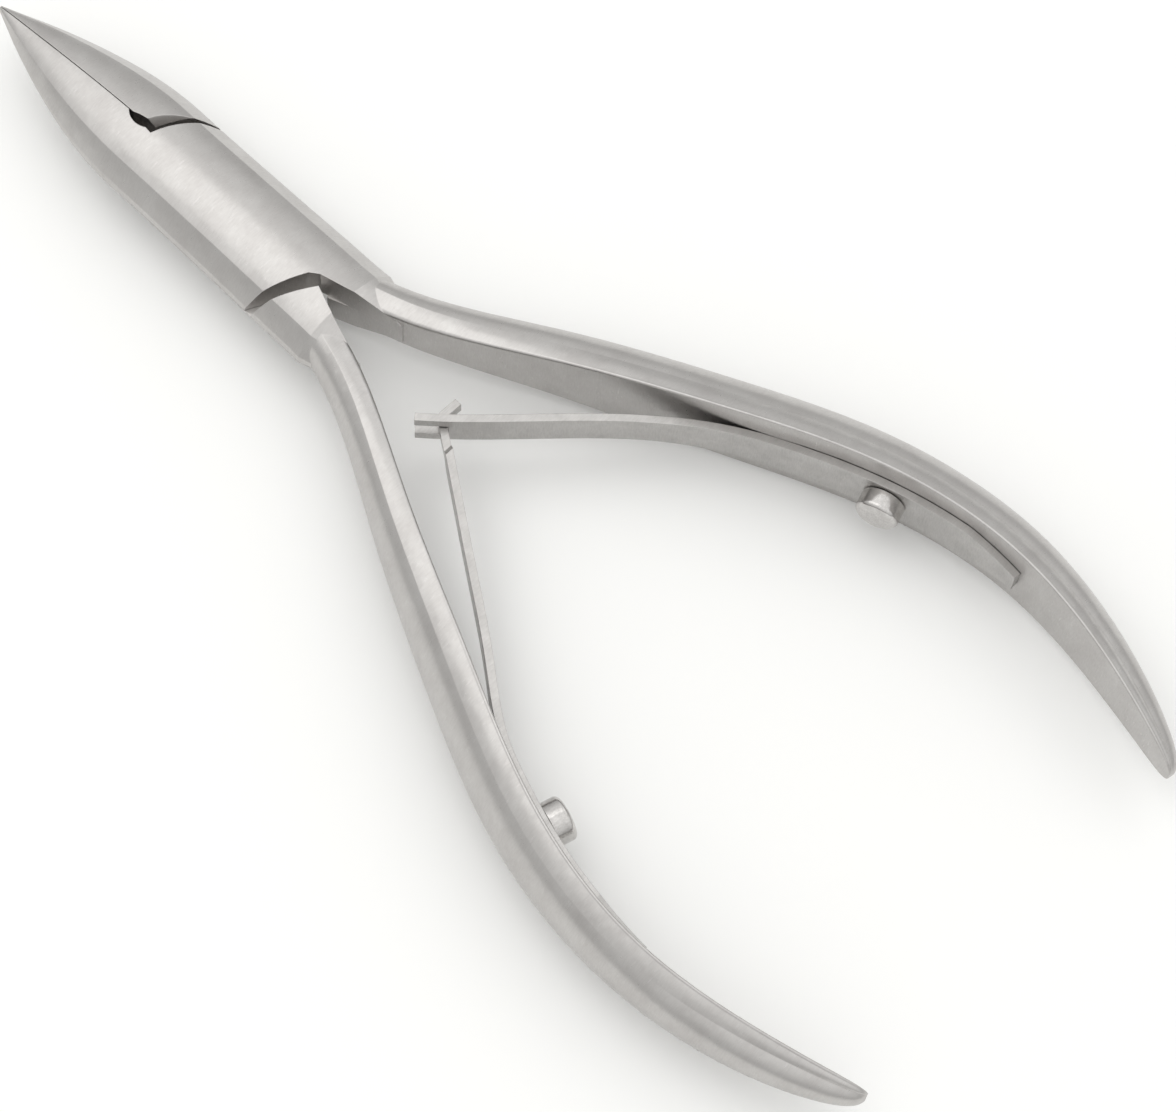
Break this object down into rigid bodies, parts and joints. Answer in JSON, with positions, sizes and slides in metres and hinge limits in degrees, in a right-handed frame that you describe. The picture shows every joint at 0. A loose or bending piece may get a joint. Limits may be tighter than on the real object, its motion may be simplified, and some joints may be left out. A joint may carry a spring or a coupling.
{
  "type": "cuticle nipper",
  "caption": "Cuticle nipper with lap-jointed pointed jaws, slender curved handles and crossed leaf springs, a forked one and a hooked one, that push the handles apart.",
  "frame": {"origin": "on the pivot axis, in the small ground flat on the back face of the barrel", "axes": "+X towards the jaw tips, +Y towards the handle of the back half, +Z out of the front face, along the pivot axis"},
  "size_m": [0.1122, 0.0492, 0.0088],
  "materials": {
    "forged_steel": "satin stainless steel, finely belt-ground along its length",
    "rivet_steel": "ground flush with the back face",
    "spring_steel": "satin rolled strip",
    "screw_steel": "polished turned steel"
  },
  "bodies": {
    "front": {"front_half": "forged_steel", "pivot_rivet": "rivet_steel", "fork_leaf_root": "spring_steel", "fork_leaf_screw": "screw_steel"},
    "back": {"back_half": "forged_steel", "tongue_leaf_root": "spring_steel", "tongue_leaf_screw": "screw_steel"},
    "fork_blade": {"fork_leaf_blade": "spring_steel"},
    "tongue_blade": {"tongue_leaf_blade": "spring_steel"}
  },
  "joints": [
    {"name": "jaw_pivot", "type": "hinge", "parent": "front", "child": "back", "pos_m": [0, 0, 0.003], "axis": [0, 0, -1], "range_deg": [0, 12], "stiffness_Nm_per_rad": 1.5, "springref_deg": 12},
    {"name": "fork_leaf_flex", "type": "hinge", "parent": "front", "child": "fork_blade", "pos_m": [-0.0476, -0.0164, 0.003], "axis": [0, 0, 1], "range_deg": [0, 7.75]},
    {"name": "tongue_leaf_flex", "type": "hinge", "parent": "back", "child": "tongue_blade", "pos_m": [-0.0476, 0.0164, 0.003], "axis": [0, 0, -1], "range_deg": [0, 9.2]}
  ],
  "couplings": [
    {"joint": "fork_leaf_flex", "follows": "jaw_pivot", "ratio": 0.645},
    {"joint": "tongue_leaf_flex", "follows": "jaw_pivot", "ratio": 0.765}
  ]
}
